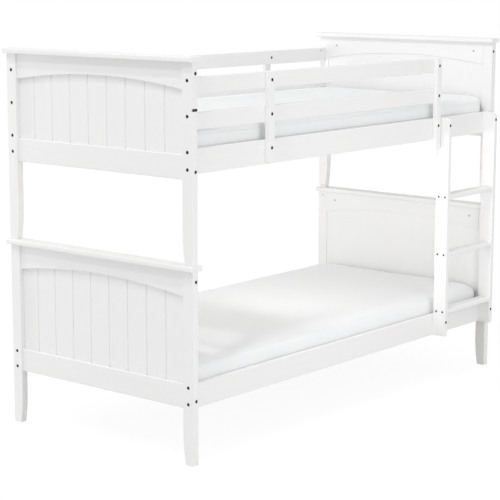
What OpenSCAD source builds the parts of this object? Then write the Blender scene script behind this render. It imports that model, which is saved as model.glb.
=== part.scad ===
// Bunk bed with a bolted ladder: two stackable single beds in painted wood.
// X runs along the bed, the ladder side faces -Y, and Z = 0 is the floor.

/* [Mattresses] */
// Length of a mattress
mattress_length = 2000; // [1700:10:2200]
// Width of a mattress
mattress_width = 900; // [700:10:1400]
// Thickness of the lower mattress
lower_mattress_thickness = 140; // [100:5:200]
// Thickness of the upper mattress
upper_mattress_thickness = 126; // [90:2:140]
// Corner radius of a mattress, seen from above
mattress_corner_radius = 35; // [10:5:60]
// Gap between a mattress and each side rail
mattress_side_gap = 3; // [2:0.5:15]
// Gap between a mattress and each end frame
mattress_end_gap = 10; // [4:1:25]

/* [Posts] */
// Thickness of a post, along the bed
post_thickness = 30; // [27:1:45]
// Width of a post, across the bed
post_width = 50; // [44:1:80]
// How far the inner edge of a leg draws in at its foot
leg_taper = 12; // [4:1:14]
// Height of the drawn-in part of a leg
leg_taper_height = 130; // [60:5:190]

/* [End frames] */
// Height of the lower bed, floor to the top of its cap boards
lower_height = 756; // [700:2:860]
// Rise of the upper end rails above the top of the guard boards
cap_above_guard = 53; // [46:1:90]
// Thickness of the cap board on each end frame
cap_thickness = 20; // [14:1:30]
// Overhang of the cap board past the post faces, along the bed
cap_side_overhang = 18; // [6:1:30]
// Overhang of the cap board past the posts, across the bed
cap_end_overhang = 7; // [4:1:25]
// Radius on the long edges of the cap board
cap_edge_radius = 5; // [2:0.5:7]
// Thickness of the top and bottom rails of an end frame
end_rail_thickness = 22; // [20:1:26]
// Height of the top rail at its ends
top_rail_height = 100; // [92:2:130]
// Rise of the arch cut into the top rail
arch_rise = 34; // [15:1:42]
// Height of the bottom rail
bottom_rail_height = 92; // [70:2:110]
// How far the lower bed's bottom rail hangs below its side rails
lower_end_rail_drop = 1; // [0:0.5:6]
// How far the upper bed's bottom rail hangs below its side rails
upper_end_rail_drop = 21; // [20:1:38]

/* [End panels] */
// Thickness of the grooved panel
panel_thickness = 6; // [5:0.5:8]
// Step from the face of the end rails back to the panel
panel_recess = 12; // [8:1:12]
// How deep the panel sits in the grooves of the posts and rails
panel_tongue = 6; // [4:1:9]
// Distance between two V grooves
groove_pitch = 98.5; // [60:0.5:140]
// Width of a V groove at the face
groove_width = 6; // [3:0.5:7]
// How far the row of grooves sits off the middle, towards the wall side
groove_shift = 10; // [-15:1:15]

/* [Side rails] */
// Thickness of a side rail
side_rail_thickness = 20; // [18:1:24]
// Height of a side rail
side_rail_height = 94; // [84:2:120]
// Step from the outer face of the posts back to the side rail
side_rail_recess = 14; // [8:1:16]
// Height of the lower side rails above the floor
lower_side_rail_z = 216; // [200:2:250]
// Height of the upper side rails above the foot of their posts
upper_side_rail_z = 335; // [315:1:350]

/* [Mattress base] */
// Width of the ledger strip screwed inside each side rail
ledger_width = 22; // [16:1:30]
// Height of the ledger strip
ledger_height = 20; // [14:1:26]
// Width of a slat
slat_width = 70; // [50:2:90]
// Thickness of a slat
slat_thickness = 16; // [12:1:22]
// Largest distance from one slat to the next
slat_pitch = 140; // [110:5:170]

/* [Guards] */
// Thickness of a guard board
guard_board_thickness = 20; // [16:1:22]
// Height of a guard board
guard_board_height = 62; // [50:1:70]
// Gap below each guard board
guard_gap = 67; // [60:1:72]
// Width of a guard post, along the bed
guard_post_width = 36; // [30:1:60]
// Thickness of a guard post
guard_post_thickness = 20; // [16:1:28]
// Outer face of the end posts to the middle of the nearest guard post
guard_post_inset = 452; // [300:5:600]
// Opening in the front guard, from its end post to the right-hand posts
ladder_opening = 422; // [421:1:480]
// Foot of a guard post above the bottom edge of the side rail
guard_post_lift = 8; // [0:1:20]
// How far the guard's end post reaches below the side rail
end_post_drop = 38; // [10:1:60]

/* [Ladder] */
// Thickness of a ladder stile, along the bed
stile_thickness = 20; // [18:1:26]
// Depth of a ladder stile, across the bed
stile_depth = 62; // [60:1:80]
// Width of the ladder over its stiles
ladder_width = 399; // [360:1:399]
// Space between the right-hand stile and the post beside it
ladder_end_gap = 21; // [4:1:22]
// Radius on the front top corner of a stile
stile_corner_radius = 20; // [8:1:26]
// Thickness of a rung
rung_thickness = 24; // [20:1:30]
// Depth of a rung
rung_depth = 54; // [44:1:56]
// Radius on the long edges of a rung
rung_edge_radius = 8; // [3:0.5:9.5]
// Step from the front edge of a stile back to a rung
rung_setback = 4; // [2:1:8]
// Height of the middle of the lowest rung above the floor
first_rung_z = 325; // [300:5:350]
// Distance from one rung to the next
rung_pitch = 257; // [230:1:260]

/* [Fittings] */
// Diameter of the connector bolts
bolt_diameter = 6; // [5:0.5:6]
// Diameter of a connector bolt's head
bolt_head_diameter = 13; // [10:0.5:14]
// Thickness of a connector bolt's head
bolt_head_height = 4; // [3:0.5:5]
// Diameter of the barrel nuts
barrel_nut_diameter = 10; // [9:0.5:11]
// Distance from the end of a side rail or guard board to its barrel nut
side_nut_inset = 37; // [28:1:48]
// Distance from the end of an end rail to its barrel nut
end_nut_inset = 50; // [30:1:70]
// Diameter of the steel pins between the two beds
stack_pin_diameter = 10; // [8:0.5:11]
// How deep a stacking pin reaches into each post
stack_pin_depth = 30; // [24:1:32]
// Diameter of the wood screws' heads
screw_head_diameter = 9; // [7:0.5:10]
// Height of the painted mattress mark above the upper side rail
height_mark_rise = 135; // [100:1:180]

/* [Hidden] */

$fn = 48;
big_arc_fn = 720;

// small clearances and depths
eps = 0.5;
hole_clearance = 0.3;
thread_clearance = 0.1;
hole_end_room = 1;
socket_depth = 2.5;
socket_width = 5;
bolt_end_gap = 2;
screw_length = 45;
screw_head_height = 3;
screw_diameter = 4.5;
screw_socket_width = 3.5;
mark_height = 10;
mark_depth = 0.6;
slat_end_gap = 1;
slat_edge_margin = 10;

// bolt places on the boards they hold
side_bolt_rise = 18;
side_bolt_drop = 12.5;
end_bolt_rise = 31;
end_bolt_drop = 40;
board_bolt_drop = 12;
pin_screw_rise = 11;
pin_screw_drop = 20;

LEFT = -1;
RIGHT = 1;
FRONT = -1;
REAR = 1;

// the bed is built around its mattresses
inner_length = mattress_length + 2 * mattress_end_gap;
bed_length = inner_length + 2 * post_thickness;
bed_width = mattress_width + 2 * (mattress_side_gap + side_rail_thickness + side_rail_recess);
inner_width = bed_width - 2 * post_width;

// heights of the two beds
lower_foot_z = 0;
upper_foot_z = lower_height;
lower_cap_z = lower_height - cap_thickness;
lower_rail_z = lower_side_rail_z;
upper_rail_z = upper_foot_z + upper_side_rail_z;
lower_bottom_rail_z = lower_rail_z - lower_end_rail_drop;
upper_bottom_rail_z = upper_rail_z - upper_end_rail_drop;
lower_board_z = upper_rail_z + side_rail_height + guard_gap;
top_board_z = lower_board_z + guard_board_height + guard_gap;
guard_top_z = top_board_z + guard_board_height;
upper_cap_z = guard_top_z + cap_above_guard;

// places across the bed, measured in from the outer face of the posts
rail_centre_y = side_rail_recess + side_rail_thickness / 2;
rail_inner_y = side_rail_recess + side_rail_thickness;
board_centre_y = side_rail_recess + guard_board_thickness / 2;
board_inner_y = side_rail_recess + guard_board_thickness;
guard_post_front_y = side_rail_recess - guard_post_thickness;
post_centre_y = post_width / 2;
stile_front_y = side_rail_recess - stile_depth;
rung_front_y = stile_front_y + rung_setback;

// places along the bed, measured in from the outer face of the posts
end_rail_recess = post_thickness - end_rail_thickness;
end_rail_centre_x = end_rail_recess + end_rail_thickness / 2;
panel_x = end_rail_recess + panel_recess;

// places along the bed, measured from its middle
guard_end_x = inner_length / 2 - ladder_opening;
guard_middle_x = -bed_length / 2 + guard_post_inset;
ladder_right_x = inner_length / 2 - ladder_end_gap;
ladder_left_x = ladder_right_x - ladder_width;

// ladder
stile_bottom_z = lower_rail_z;
stile_top_z = upper_rail_z + side_rail_height;
rung_length = ladder_width - 2 * stile_thickness;
rung_screw_inset = rung_depth / 5;
ladder_bolt_rise = side_rail_height * 2 / 3;

// arch of the top rail and curve of the leg
arch_radius = (pow(inner_width / 2, 2) + pow(arch_rise, 2)) / (2 * arch_rise);
leg_radius = (pow(leg_taper_height, 2) + pow(leg_taper, 2)) / (2 * leg_taper);

// slats
slat_span = inner_length - slat_width - 2 * slat_edge_margin;
slat_count = ceil(slat_span / slat_pitch) + 1;
slat_step = slat_span / (slat_count - 1);
slat_length = bed_width - 2 * (rail_inner_y + slat_end_gap);

// bolts that reach just past a barrel nut
side_bolt_length = post_thickness + side_nut_inset + barrel_nut_diameter / 2;

// stacking pins
pin_length = cap_thickness + 2 * (stack_pin_depth - bolt_end_gap);

// the bounding box is centred on the origin across the bed
front_reach = -bed_width / 2 + min(stile_front_y, -cap_end_overhang);
rear_reach = bed_width / 2 + max(cap_end_overhang, -guard_post_front_y);
frame_shift_y = -(front_reach + rear_reach) / 2;

paint = "white";
steel_dark = "dimgray";
steel = "silver";
cloth = "whitesmoke";

// ---- placing ----

// x is measured in from the outer face of that end, y stays centred
module at_end(side) {
    translate([0, frame_shift_y, 0])
        mirror([side == RIGHT ? 1 : 0, 0, 0])
            translate([-bed_length / 2, 0, 0])
                children();
}

// y is measured in from the outer face of that side
module at_row(side) {
    mirror([0, side == REAR ? 1 : 0, 0])
        translate([0, -bed_width / 2, 0])
            children();
}

module at_side(side) {
    translate([0, frame_shift_y, 0])
        at_row(side)
            children();
}

module along_x(length, d) {
    rotate([0, 90, 0])
        cylinder(h = length, d = d);
}

module along_y(length, d) {
    rotate([-90, 0, 0])
        cylinder(h = length, d = d);
}

// ---- fittings ----

// a hex-socket bolt with its head's outer face at z = 0, pointing to +z
module bolt(length) {
    difference() {
        union() {
            cylinder(h = bolt_head_height, d = bolt_head_diameter);
            cylinder(h = length, d = bolt_diameter);
        }
        translate([0, 0, -eps])
            cylinder(h = socket_depth + eps, d = socket_width, $fn = 6);
    }
}

// the room that such a bolt needs
module bolt_hole(length) {
    translate([0, 0, -eps])
        cylinder(h = bolt_head_height + eps, d = bolt_head_diameter + 2 * hole_clearance);
    cylinder(h = length + hole_end_room, d = bolt_diameter + 2 * hole_clearance);
}

module bolt_x(length) {
    rotate([0, 90, 0])
        bolt(length);
}

module bolt_hole_x(length) {
    rotate([0, 90, 0])
        bolt_hole(length);
}

module bolt_y(length) {
    rotate([-90, 0, 0])
        bolt(length);
}

module bolt_hole_y(length) {
    rotate([-90, 0, 0])
        bolt_hole(length);
}

// ---- bolt places ----

// heights of the bolts through each board
function side_bolt_z(rail_z) = [rail_z + side_bolt_rise, rail_z + side_rail_height - side_bolt_drop];
function end_bolt_z(bottom_rail_z, cap_z) = [bottom_rail_z + end_bolt_rise, cap_z - end_bolt_drop];
function board_bolt_z(board_z) = board_z + guard_board_height - board_bolt_drop;
all_board_bolt_z = [board_bolt_z(lower_board_z), board_bolt_z(top_board_z)];

// height and inner face of each board that a guard post is bolted to
guard_post_boards = [
    [upper_rail_z + ladder_bolt_rise, rail_inner_y],
    [lower_board_z + guard_board_height / 2, board_inner_y],
    [top_board_z + guard_board_height / 2, board_inner_y]
];

// bottom rail and cap heights of the two beds
end_frames = [[lower_bottom_rail_z, lower_cap_z], [upper_bottom_rail_z, upper_cap_z]];

// ---- end frames ----

module post_blank(foot_z, top_z) {
    translate([0, 0, foot_z + leg_taper_height])
        cube([post_thickness, post_width, top_z - foot_z - leg_taper_height]);
    intersection() {
        translate([0, 0, foot_z])
            cube([post_thickness, post_width, leg_taper_height]);
        translate([-eps, post_width - leg_radius, foot_z + leg_taper_height])
            rotate([0, 90, 0])
                cylinder(h = post_thickness + 2 * eps, r = leg_radius, $fn = big_arc_fn);
    }
}

module post(foot_z, top_z, bottom_rail_z, side_z, board_z) {
    difference() {
        post_blank(foot_z, top_z);
        // groove for the panel's edge
        translate([panel_x - hole_clearance, post_width - panel_tongue - hole_clearance, bottom_rail_z])
            cube([
                panel_thickness + 2 * hole_clearance,
                panel_tongue + hole_clearance + eps,
                top_z - bottom_rail_z + eps
            ]);
        for (z = side_z)
            translate([0, rail_centre_y, z])
                bolt_hole_x(post_thickness + eps);
        for (z = board_z)
            translate([0, board_centre_y, z])
                bolt_hole_x(post_thickness + eps);
        for (z = end_bolt_z(bottom_rail_z, top_z))
            translate([end_rail_centre_x, 0, z])
                bolt_hole_y(post_width + eps);
        stacking_holes(foot_z == upper_foot_z ? foot_z : top_z, foot_z == upper_foot_z);
    }
}

// blind hole for a stacking pin and the hole for its locking screw
module stacking_holes(end_z, from_below) {
    screw_z = from_below ? end_z + pin_screw_rise : end_z - pin_screw_drop;
    translate([post_thickness / 2, post_centre_y, end_z - stack_pin_depth])
        cylinder(h = 2 * stack_pin_depth, d = stack_pin_diameter + 2 * hole_clearance);
    translate([post_thickness / 2, post_centre_y, screw_z])
        along_x(post_thickness, screw_diameter + 2 * hole_clearance);
}

module lower_post(end, row) {
    color(paint)
        at_end(end)
            at_row(row)
                post(lower_foot_z, lower_cap_z, lower_bottom_rail_z, side_bolt_z(lower_rail_z), []);
}

module upper_post(end, row) {
    boards = row == REAR || end == LEFT;
    color(paint)
        difference() {
            at_end(end)
                at_row(row)
                    post(
                        upper_foot_z, upper_cap_z, upper_bottom_rail_z,
                        side_bolt_z(upper_rail_z), boards ? all_board_bolt_z : []
                    );
            if (end == LEFT && row == FRONT)
                height_mark_block(mark_depth);
        }
}

// a board's section with its four long edges rounded
module rounded_section(width, height, r) {
    translate([r, 0])
        square([width - 2 * r, height]);
    translate([0, r])
        square([width, height - 2 * r]);
    for (x = [r, width - r])
        for (y = [r, height - r])
            translate([x, y])
                circle(r = r);
}

module cap(end, cap_z, pinned) {
    length = bed_width + 2 * cap_end_overhang;
    color(paint)
        at_end(end)
            difference() {
                translate([-cap_side_overhang, length / 2, cap_z])
                    rotate([90, 0, 0])
                        linear_extrude(height = length)
                            rounded_section(
                                post_thickness + 2 * cap_side_overhang,
                                cap_thickness,
                                cap_edge_radius
                            );
                if (pinned)
                    for (row = [FRONT, REAR])
                        at_row(row)
                            translate([post_thickness / 2, post_centre_y, cap_z - eps])
                                cylinder(
                                    h = cap_thickness + 2 * eps,
                                    d = stack_pin_diameter + 2 * hole_clearance
                                );
            }
}

// holes in both ends of an end rail, for its bolts and barrel nuts
module end_rail_holes(z) {
    for (row = [FRONT, REAR])
        at_row(row) {
            translate([end_rail_centre_x, post_width - eps, z])
                along_y(end_nut_inset + barrel_nut_diameter + eps, bolt_diameter + 2 * hole_clearance);
            translate([end_rail_centre_x - barrel_nut_diameter / 2, post_width + end_nut_inset, z])
                along_x(post_thickness, barrel_nut_diameter + 2 * hole_clearance);
        }
}

module top_rail(end, cap_z) {
    rail_z = cap_z - top_rail_height;
    color(paint)
        at_end(end)
            difference() {
                translate([end_rail_recess, -inner_width / 2, rail_z])
                    cube([end_rail_thickness, inner_width, top_rail_height]);
                translate([0, 0, rail_z + arch_rise - arch_radius])
                    rotate([0, 90, 0])
                        cylinder(h = post_thickness + eps, r = arch_radius, $fn = big_arc_fn);
                translate([panel_x - hole_clearance, -inner_width / 2 - eps, rail_z - eps])
                    cube([
                        panel_thickness + 2 * hole_clearance,
                        inner_width + 2 * eps,
                        arch_rise + panel_tongue + hole_clearance + eps
                    ]);
                end_rail_holes(cap_z - end_bolt_drop);
            }
}

module bottom_rail(end, rail_z) {
    color(paint)
        at_end(end)
            difference() {
                translate([end_rail_recess, -inner_width / 2, rail_z])
                    cube([end_rail_thickness, inner_width, bottom_rail_height]);
                translate([
                    panel_x - hole_clearance,
                    -inner_width / 2 - eps,
                    rail_z + bottom_rail_height - panel_tongue - hole_clearance
                ])
                    cube([
                        panel_thickness + 2 * hole_clearance,
                        inner_width + 2 * eps,
                        panel_tongue + hole_clearance + eps
                    ]);
                end_rail_holes(rail_z + end_bolt_rise);
            }
}

// a panel with V grooves on its outer face
module panel(end, rail_z, cap_z) {
    bottom = rail_z + bottom_rail_height - panel_tongue;
    top = cap_z - top_rail_height + arch_rise + panel_tongue;
    width = inner_width + 2 * panel_tongue;
    gaps = floor(inner_width / groove_pitch) - 1;
    cutter = groove_width / sqrt(2);
    color(paint)
        at_end(end)
            difference() {
                translate([panel_x, -width / 2, bottom])
                    cube([panel_thickness, width, top - bottom]);
                for (i = [0 : gaps])
                    translate([panel_x, (i - gaps / 2) * groove_pitch + groove_shift, bottom - eps])
                        rotate([0, 0, 45])
                            translate([-cutter / 2, -cutter / 2, 0])
                                cube([cutter, cutter, top - bottom + 2 * eps]);
            }
}

// ---- side rails and slats ----

module side_rail_blank(rail_z) {
    translate([-inner_length / 2, side_rail_recess, rail_z])
        cube([inner_length, side_rail_thickness, side_rail_height]);
}

// holes at the right-hand end of a board whose middle lies on y = 0
module board_end_holes() {
    translate([inner_length / 2 - side_nut_inset - barrel_nut_diameter, 0, 0])
        along_x(side_nut_inset + barrel_nut_diameter + eps, bolt_diameter + 2 * hole_clearance);
    translate([inner_length / 2 - side_nut_inset, -barrel_nut_diameter / 2, 0])
        along_y(side_rail_thickness, barrel_nut_diameter + 2 * hole_clearance);
}

module flip_x(side) {
    mirror([side == LEFT ? 1 : 0, 0, 0])
        children();
}

// holes for a bolt from y = front to the board's inner face, and for its cap nut
module through_bolt_holes(front, inner) {
    translate([0, front, 0])
        bolt_hole_y(inner - front);
    translate([0, inner - bolt_head_height, 0])
        along_y(bolt_head_height + eps, bolt_head_diameter + 2 * hole_clearance);
}

module side_rail(row, rail_z) {
    color(paint)
        at_side(row)
            difference() {
                side_rail_blank(rail_z);
                for (side = [LEFT, RIGHT])
                    for (z = side_bolt_z(rail_z))
                        flip_x(side)
                            translate([0, rail_centre_y, z])
                                board_end_holes();
                if (row == FRONT)
                    for (x = stile_centres)
                        translate([x, 0, rail_z + ladder_bolt_rise])
                            through_bolt_holes(stile_front_y, rail_inner_y);
                if (rail_z == upper_rail_z)
                    guard_post_holes(row);
            }
}

module ledger(row, rail_z) {
    color(paint)
        at_side(row)
            translate([-inner_length / 2, rail_inner_y, rail_z])
                cube([inner_length, ledger_width, ledger_height]);
}

module slats(rail_z) {
    color("burlywood")
        translate([0, frame_shift_y, rail_z + ledger_height])
            for (i = [0 : slat_count - 1])
                translate([-slat_span / 2 + i * slat_step - slat_width / 2, -slat_length / 2, 0])
                    cube([slat_width, slat_length, slat_thickness]);
}

module mattress(rail_z, thickness) {
    r = mattress_corner_radius;
    color(cloth)
        translate([0, frame_shift_y, rail_z + ledger_height + slat_thickness + hole_clearance])
            linear_extrude(height = thickness)
                union() {
                    square([mattress_length - 2 * r, mattress_width], center = true);
                    square([mattress_length, mattress_width - 2 * r], center = true);
                    for (x = [-1, 1])
                        for (y = [-1, 1])
                            translate([x * (mattress_length / 2 - r), y * (mattress_width / 2 - r)])
                                circle(r = r);
                }
}

// ---- guards ----

function guard_posts(row) = row == FRONT
    ? [guard_middle_x, guard_end_x - guard_post_width / 2]
    : [guard_middle_x, -guard_middle_x];

// holes through the boards and the side rail for the guard post bolts
module guard_post_holes(row) {
    for (x = guard_posts(row))
        for (board = guard_post_boards)
            translate([x, 0, board[0]])
                through_bolt_holes(guard_post_front_y, board[1]);
}

module guard_board(row, board_z) {
    left_end = -inner_length / 2;
    right_end = row == FRONT ? guard_end_x : inner_length / 2;
    color(paint)
        at_side(row)
            difference() {
                translate([left_end, side_rail_recess, board_z])
                    cube([right_end - left_end, guard_board_thickness, guard_board_height]);
                for (side = row == FRONT ? [LEFT] : [LEFT, RIGHT])
                    flip_x(side)
                        translate([0, board_centre_y, board_bolt_z(board_z)])
                            board_end_holes();
                guard_post_holes(row);
            }
}

module guard_post(row, x, bottom_z) {
    color(paint)
        at_side(row)
            difference() {
                translate([x - guard_post_width / 2, guard_post_front_y, bottom_z])
                    cube([guard_post_width, guard_post_thickness, guard_top_z - bottom_z]);
                guard_post_holes(row);
            }
}

// ---- ladder ----

stile_centres = [ladder_left_x + stile_thickness / 2, ladder_right_x - stile_thickness / 2];
rung_z = [first_rung_z, first_rung_z + rung_pitch, first_rung_z + 2 * rung_pitch];

// the two screws in each end of a rung, driven in through the stiles
module at_rung_screws(z) {
    for (y = [rung_screw_inset, rung_depth - rung_screw_inset]) {
        translate([ladder_left_x, rung_front_y + y, z])
            children();
        translate([ladder_right_x, rung_front_y + y, z])
            mirror([1, 0, 0])
                children();
    }
}

module stile(side) {
    x = side == LEFT ? ladder_left_x : ladder_right_x - stile_thickness;
    r = stile_corner_radius;
    height = stile_top_z - stile_bottom_z;
    color(paint)
        at_side(FRONT)
            difference() {
                translate([x, stile_front_y, stile_bottom_z]) {
                    cube([stile_thickness, stile_depth, height - r]);
                    translate([0, r, 0])
                        cube([stile_thickness, stile_depth - r, height]);
                    translate([0, r, height - r])
                        along_x(stile_thickness, 2 * r);
                }
                for (z = [lower_rail_z, upper_rail_z])
                    translate([x + stile_thickness / 2, stile_front_y, z + ladder_bolt_rise])
                        bolt_hole_y(stile_depth + eps);
                for (z = rung_z)
                    at_rung_screws(z)
                        screw_hole();
            }
}

module rung(i) {
    color(paint)
        at_side(FRONT)
            difference() {
                translate([
                    ladder_left_x + stile_thickness,
                    rung_front_y,
                    rung_z[i] - rung_thickness / 2
                ])
                    rotate([90, 0, 90])
                        linear_extrude(height = rung_length)
                            rounded_section(rung_depth, rung_thickness, rung_edge_radius);
                at_rung_screws(rung_z[i])
                    screw_hole();
            }
}

// a countersunk wood screw with its head at x = 0, pointing to +x
module screw() {
    difference() {
        union() {
            along_x(screw_head_height, screw_head_diameter);
            along_x(screw_length, screw_diameter);
        }
        translate([-eps, 0, 0])
            rotate([0, 90, 0])
                cylinder(h = socket_depth, d = screw_socket_width, $fn = 6);
    }
}

module screw_hole() {
    translate([-eps, 0, 0])
        along_x(screw_head_height + eps, screw_head_diameter + 2 * hole_clearance);
    along_x(screw_length + hole_end_room, screw_diameter + 2 * hole_clearance);
}

// ---- groups of fittings ----

module end_frame_bolts() {
    color(steel_dark)
        for (end = [LEFT, RIGHT])
            at_end(end)
                for (row = [FRONT, REAR])
                    at_row(row)
                        for (frame = end_frames)
                            for (z = end_bolt_z(frame[0], frame[1]))
                                translate([end_rail_centre_x, 0, z])
                                    bolt_y(post_width + end_nut_inset + barrel_nut_diameter / 2);
}

module side_rail_bolts() {
    color(steel_dark)
        for (end = [LEFT, RIGHT])
            at_end(end)
                for (row = [FRONT, REAR])
                    at_row(row)
                        for (z = concat(side_bolt_z(lower_rail_z), side_bolt_z(upper_rail_z)))
                            translate([0, rail_centre_y, z])
                                bolt_x(side_bolt_length);
}

// the front boards stop short of the right-hand post, at the ladder
module at_board_ends() {
    for (place = [[LEFT, FRONT], [LEFT, REAR], [RIGHT, REAR]])
        at_end(place[0])
            at_row(place[1])
                for (z = all_board_bolt_z)
                    translate([0, board_centre_y, z])
                        children();
}

module guard_board_bolts() {
    color(steel_dark)
        at_board_ends()
            bolt_x(side_bolt_length);
}

module guard_post_bolts() {
    color(steel_dark)
        for (row = [FRONT, REAR])
            at_side(row)
                for (x = guard_posts(row))
                    for (board = guard_post_boards)
                        translate([x, guard_post_front_y, board[0]])
                            bolt_y(board[1] - guard_post_front_y - bolt_end_gap);
}

module ladder_bolts() {
    color(steel_dark)
        at_side(FRONT)
            for (x = stile_centres)
                for (z = [lower_rail_z, upper_rail_z])
                    translate([x, stile_front_y, z + ladder_bolt_rise])
                        bolt_y(rail_inner_y - stile_front_y - bolt_end_gap);
}

// a nut let into a board, its closed face flush with y = 0
module cap_nut() {
    difference() {
        translate([0, -bolt_head_height, 0])
            along_y(bolt_head_height, bolt_head_diameter);
        translate([0, -bolt_head_height - eps, 0])
            along_y(bolt_head_height - bolt_end_gap + 2 * eps, bolt_diameter + 2 * thread_clearance);
    }
}

module cap_nuts() {
    color(steel_dark)
        for (row = [FRONT, REAR])
            at_side(row) {
                for (x = guard_posts(row))
                    for (board = guard_post_boards)
                        translate([x, board[1], board[0]])
                            cap_nut();
                if (row == FRONT)
                    for (x = stile_centres)
                        for (z = [lower_rail_z, upper_rail_z])
                            translate([x, rail_inner_y, z + ladder_bolt_rise])
                                cap_nut();
            }
}

module rung_screws() {
    color(steel_dark)
        at_side(FRONT)
            for (z = rung_z)
                at_rung_screws(z)
                    screw();
}

// a barrel nut along y, flush with the board's inner face at y = depth
module barrel_nut(depth) {
    back = barrel_nut_diameter / 2 - hole_clearance;
    difference() {
        translate([0, -back, 0])
            along_y(back + depth, barrel_nut_diameter);
        translate([-barrel_nut_diameter, 0, 0])
            along_x(2 * barrel_nut_diameter, bolt_diameter + 2 * thread_clearance);
    }
}

module barrel_nuts() {
    color(steel) {
        for (end = [LEFT, RIGHT])
            at_end(end)
                for (row = [FRONT, REAR])
                    at_row(row) {
                        for (frame = end_frames)
                            for (z = end_bolt_z(frame[0], frame[1]))
                                translate([end_rail_centre_x, post_width + end_nut_inset, z])
                                    rotate([0, 0, -90])
                                        barrel_nut(end_rail_thickness / 2);
                        for (z = concat(side_bolt_z(lower_rail_z), side_bolt_z(upper_rail_z)))
                            translate([post_thickness + side_nut_inset, rail_centre_y, z])
                                barrel_nut(side_rail_thickness / 2);
                    }
        at_board_ends()
            translate([post_thickness + side_nut_inset, 0, 0])
                barrel_nut(guard_board_thickness / 2);
    }
}

module stacking_pins() {
    color(steel)
        for (end = [LEFT, RIGHT])
            at_end(end)
                for (row = [FRONT, REAR])
                    at_row(row)
                        translate([post_thickness / 2, post_centre_y, lower_cap_z + cap_thickness / 2])
                            cylinder(h = pin_length, d = stack_pin_diameter, center = true);
}

// locking screws, driven from the inner face of the posts onto the pins
module stacking_screws() {
    gap = stack_pin_diameter / 2 + hole_clearance;
    length = post_thickness / 2 - gap;
    color(steel_dark)
        for (end = [LEFT, RIGHT])
            at_end(end)
                for (row = [FRONT, REAR])
                    at_row(row)
                        for (z = [lower_cap_z - pin_screw_drop, upper_foot_z + pin_screw_rise])
                            translate([post_thickness / 2 + gap, post_centre_y, z])
                                along_x(length, screw_diameter);
}

module height_mark_block(depth) {
    at_end(LEFT)
        at_row(FRONT)
            translate([0, 0, upper_rail_z + side_rail_height + height_mark_rise])
                cube([post_thickness, depth, mark_height]);
}

module mattress_height_mark() {
    color("black")
        height_mark_block(mark_depth);
}

// ---- nodes ----

lower_post(LEFT, FRONT);  // lower_front_left_post
lower_post(RIGHT, FRONT);  // lower_front_right_post
lower_post(LEFT, REAR);  // lower_rear_left_post
lower_post(RIGHT, REAR);  // lower_rear_right_post
cap(LEFT, lower_cap_z, true);  // lower_left_cap
cap(RIGHT, lower_cap_z, true);  // lower_right_cap
top_rail(LEFT, lower_cap_z);  // lower_left_top_rail
top_rail(RIGHT, lower_cap_z);  // lower_right_top_rail
panel(LEFT, lower_bottom_rail_z, lower_cap_z);  // lower_left_panel
panel(RIGHT, lower_bottom_rail_z, lower_cap_z);  // lower_right_panel
bottom_rail(LEFT, lower_bottom_rail_z);  // lower_left_bottom_rail
bottom_rail(RIGHT, lower_bottom_rail_z);  // lower_right_bottom_rail
side_rail(FRONT, lower_rail_z);  // lower_front_side_rail
side_rail(REAR, lower_rail_z);  // lower_rear_side_rail
ledger(FRONT, lower_rail_z);  // lower_front_ledger
ledger(REAR, lower_rail_z);  // lower_rear_ledger
slats(lower_rail_z);  // lower_slats
mattress(lower_rail_z, lower_mattress_thickness);  // lower_mattress
upper_post(LEFT, FRONT);  // upper_front_left_post
upper_post(RIGHT, FRONT);  // upper_front_right_post
upper_post(LEFT, REAR);  // upper_rear_left_post
upper_post(RIGHT, REAR);  // upper_rear_right_post
cap(LEFT, upper_cap_z, false);  // upper_left_cap
cap(RIGHT, upper_cap_z, false);  // upper_right_cap
top_rail(LEFT, upper_cap_z);  // upper_left_top_rail
top_rail(RIGHT, upper_cap_z);  // upper_right_top_rail
panel(LEFT, upper_bottom_rail_z, upper_cap_z);  // upper_left_panel
panel(RIGHT, upper_bottom_rail_z, upper_cap_z);  // upper_right_panel
bottom_rail(LEFT, upper_bottom_rail_z);  // upper_left_bottom_rail
bottom_rail(RIGHT, upper_bottom_rail_z);  // upper_right_bottom_rail
side_rail(FRONT, upper_rail_z);  // upper_front_side_rail
side_rail(REAR, upper_rail_z);  // upper_rear_side_rail
ledger(FRONT, upper_rail_z);  // upper_front_ledger
ledger(REAR, upper_rail_z);  // upper_rear_ledger
slats(upper_rail_z);  // upper_slats
mattress(upper_rail_z, upper_mattress_thickness);  // upper_mattress
guard_board(FRONT, top_board_z);  // front_guard_top_board
guard_board(FRONT, lower_board_z);  // front_guard_lower_board
guard_board(REAR, top_board_z);  // rear_guard_top_board
guard_board(REAR, lower_board_z);  // rear_guard_lower_board
guard_post(FRONT, guard_posts(FRONT)[0], upper_rail_z + guard_post_lift);  // front_guard_middle_post
guard_post(FRONT, guard_posts(FRONT)[1], upper_rail_z - end_post_drop);  // front_guard_end_post
guard_post(REAR, guard_posts(REAR)[0], upper_rail_z + guard_post_lift);  // rear_guard_left_post
guard_post(REAR, guard_posts(REAR)[1], upper_rail_z + guard_post_lift);  // rear_guard_right_post
stile(LEFT);  // ladder_left_stile
stile(RIGHT);  // ladder_right_stile
rung(2);  // ladder_top_rung
rung(1);  // ladder_middle_rung
rung(0);  // ladder_bottom_rung
end_frame_bolts();
side_rail_bolts();
guard_board_bolts();
guard_post_bolts();
ladder_bolts();
cap_nuts();
rung_screws();
barrel_nuts();
stacking_pins();
stacking_screws();
mattress_height_mark();
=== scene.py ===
import math

import bmesh
import bpy
import numpy as np
from mathutils import Matrix, Vector
from mathutils.bvhtree import BVHTree


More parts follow.
